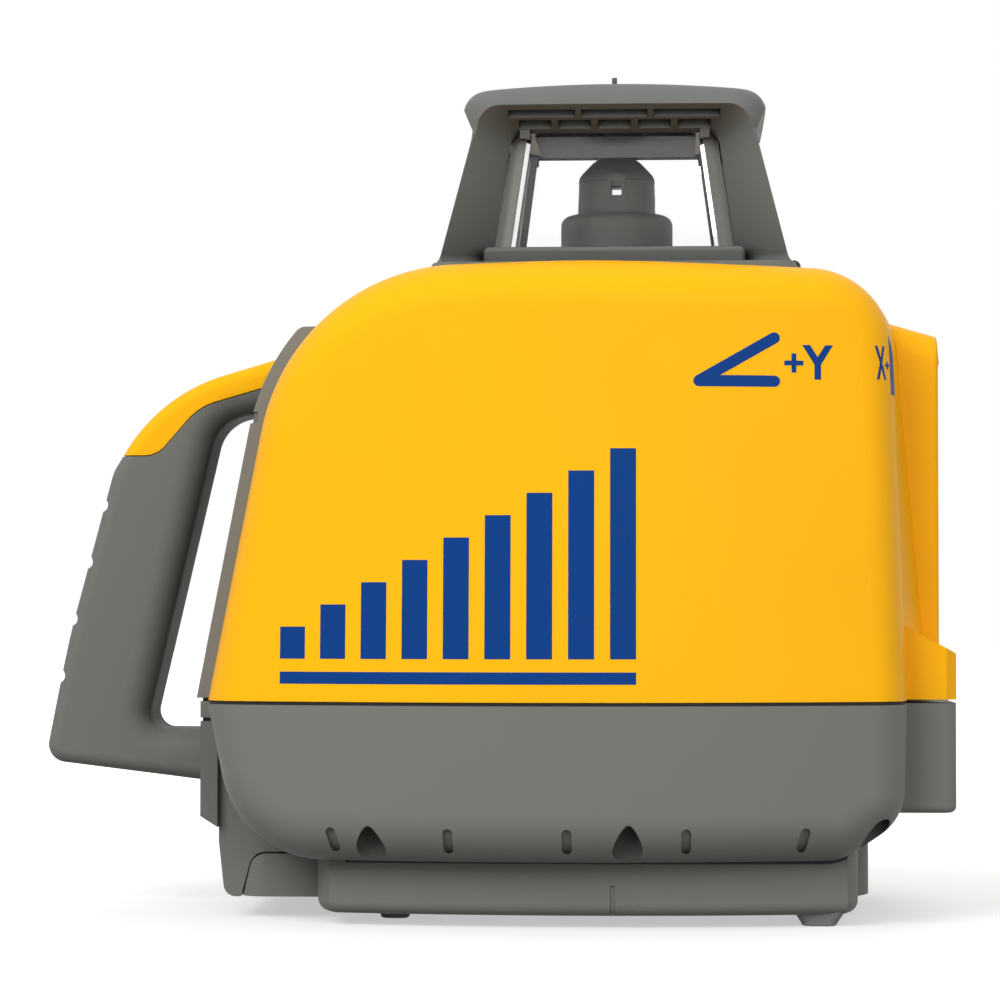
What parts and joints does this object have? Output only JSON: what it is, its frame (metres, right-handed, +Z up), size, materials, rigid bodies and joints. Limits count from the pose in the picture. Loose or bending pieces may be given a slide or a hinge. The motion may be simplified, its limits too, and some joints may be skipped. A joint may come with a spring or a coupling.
{
  "type": "dual grade laser",
  "caption": "Rotating dual grade laser for surveying: two-colour moulded housing with a side carrying handle, a four-window glass head over a spinning prism and a side control panel.",
  "frame": {"origin": "mouth of the tripod thread, on the rotor axis in the plane of the feet", "axes": "+Z up along the rotor axis, +X from the handle to the control panel, -Y the pictured front"},
  "size_m": [0.2701, 0.198, 0.2469],
  "materials": {
    "housing_yellow": "fine moulded grain",
    "housing_grey": "fine moulded grain",
    "seal_black": "matt",
    "foot_grey": "matt",
    "screw_steel": "zinc plated",
    "thread_steel": "turned",
    "bush_brass": "turned",
    "cast_metal": "cast",
    "motor_black": "satin",
    "rotor_grey": "satin",
    "clear_glass": "polished",
    "lantern_plate": "satin",
    "trap_black": "matt",
    "fascia_grey": "fine grain",
    "display_grey": "satin",
    "board_green": "solder mask",
    "inner_black": "matt",
    "cell_label": "printed sleeve",
    "door_grey": "fine moulded grain",
    "latch_black": "satin",
    "key_grey": "matt",
    "key_blue": "matt",
    "key_red": "matt"
  },
  "bodies": {
    "chassis": {"upper_housing": "housing_yellow", "handle_cap": "housing_yellow", "panel_housing": "housing_yellow", "lower_housing": "housing_grey", "base_tray": "housing_grey", "handle": "housing_grey", "handle_frame": "housing_grey", "head_cage": "housing_grey", "housing_gasket": "seal_black", "lantern_seal": "seal_black", "rubber_feet": "foot_grey", "housing_screws": "screw_steel", "cap_screws": "screw_steel", "door_hinge_pin": "screw_steel", "tripod_insert": "thread_steel", "side_insert": "thread_steel", "outer_bushes": "bush_brass", "battery_contacts": "bush_brass", "gimbal_frame": "cast_metal", "x_grade_motor": "motor_black", "y_grade_motor": "motor_black", "lantern_glass": "clear_glass", "display_window": "clear_glass", "shoulder_lens": "clear_glass", "lantern_top": "lantern_plate", "ceiling_plate": "trap_black", "panel_fascia": "fascia_grey", "display_module": "display_grey", "panel_board": "board_green", "main_board": "board_green", "battery_holder": "inner_black", "battery_cells": "cell_label"},
    "outer_gimbal": {"outer_ring": "cast_metal", "outer_pivots": "screw_steel", "inner_bushes": "bush_brass"},
    "carrier": {"laser_carrier": "cast_metal", "inner_pivots": "screw_steel", "laser_module": "cast_metal", "collimator_lens": "clear_glass", "spindle_bearings": "screw_steel", "spindle_motor": "motor_black", "drive_belt": "seal_black", "level_vials": "clear_glass"},
    "rotor": {"rotor_turret": "rotor_grey", "rotor_cap": "rotor_grey", "penta_prism": "clear_glass", "spindle": "screw_steel", "rotor_pulley": "cast_metal"},
    "motor_rotor": {"motor_pulley": "screw_steel"},
    "x_plunger": {"x_grade_plunger": "screw_steel"},
    "y_plunger": {"y_grade_plunger": "screw_steel"},
    "door": {"battery_door": "door_grey"},
    "latch": {"battery_latch": "latch_black"},
    "key_menu": {"key_menu": "key_grey"},
    "key_enter": {"key_enter": "key_grey"},
    "key_up": {"key_up": "key_blue"},
    "key_down": {"key_down": "key_blue"},
    "key_left": {"key_left": "key_blue"},
    "key_right": {"key_right": "key_blue"},
    "key_power": {"key_power": "key_red"}
  },
  "joints": [
    {"name": "y_grade", "type": "hinge", "parent": "chassis", "child": "outer_gimbal", "pos_m": [0, 0, 0.145], "axis": [1, 0, 0], "range_deg": [-5.71, 8.53]},
    {"name": "x_grade", "type": "hinge", "parent": "outer_gimbal", "child": "carrier", "pos_m": [0, 0, 0.145], "axis": [0, 1, 0], "range_deg": [-5.71, 8.53]},
    {"name": "rotor_spin", "type": "hinge", "parent": "carrier", "child": "rotor", "pos_m": [0, 0, 0.2], "axis": [0, 0, 1], "continuous": true},
    {"name": "motor_spin", "type": "hinge", "parent": "carrier", "child": "motor_rotor", "pos_m": [0, -0.03, 0.174], "axis": [0, 0, 1], "continuous": true},
    {"name": "x_lift", "type": "slide", "parent": "chassis", "child": "x_plunger", "axis": [0, 0, 1], "range_m": [-0.00432, 0.00289]},
    {"name": "y_lift", "type": "slide", "parent": "chassis", "child": "y_plunger", "axis": [0, 0, 1], "range_m": [-0.00518, 0.00774]},
    {"name": "door_hinge", "type": "hinge", "parent": "chassis", "child": "door", "pos_m": [0, 0.0946, 0.058], "axis": [1, 0, 0], "range_deg": [0, 85]},
    {"name": "latch_turn", "type": "hinge", "parent": "door", "child": "latch", "pos_m": [0, 0.096, 0.038], "axis": [0, 1, 0], "range_deg": [0, 90]},
    {"name": "press_menu", "type": "slide", "parent": "chassis", "child": "key_menu", "axis": [-1, 0, 0], "range_m": [0, 0.0012], "stiffness_N_per_m": 600},
    {"name": "press_enter", "type": "slide", "parent": "chassis", "child": "key_enter", "axis": [-1, 0, 0], "range_m": [0, 0.0012], "stiffness_N_per_m": 600},
    {"name": "press_up", "type": "slide", "parent": "chassis", "child": "key_up", "axis": [-1, 0, 0], "range_m": [0, 0.0012], "stiffness_N_per_m": 600},
    {"name": "press_down", "type": "slide", "parent": "chassis", "child": "key_down", "axis": [-1, 0, 0], "range_m": [0, 0.0012], "stiffness_N_per_m": 600},
    {"name": "press_left", "type": "slide", "parent": "chassis", "child": "key_left", "axis": [-1, 0, 0], "range_m": [0, 0.0012], "stiffness_N_per_m": 600},
    {"name": "press_right", "type": "slide", "parent": "chassis", "child": "key_right", "axis": [-1, 0, 0], "range_m": [0, 0.0012], "stiffness_N_per_m": 600},
    {"name": "press_power", "type": "slide", "parent": "chassis", "child": "key_power", "axis": [-1, 0, 0], "range_m": [0, 0.0012], "stiffness_N_per_m": 600}
  ],
  "couplings": [
    {"joint": "motor_spin", "follows": "rotor_spin", "ratio": 2.3514},
    {"joint": "x_lift", "follows": "x_grade", "m_per_rad": -0.029},
    {"joint": "y_lift", "follows": "y_grade", "m_per_rad": 0.052}
  ]
}
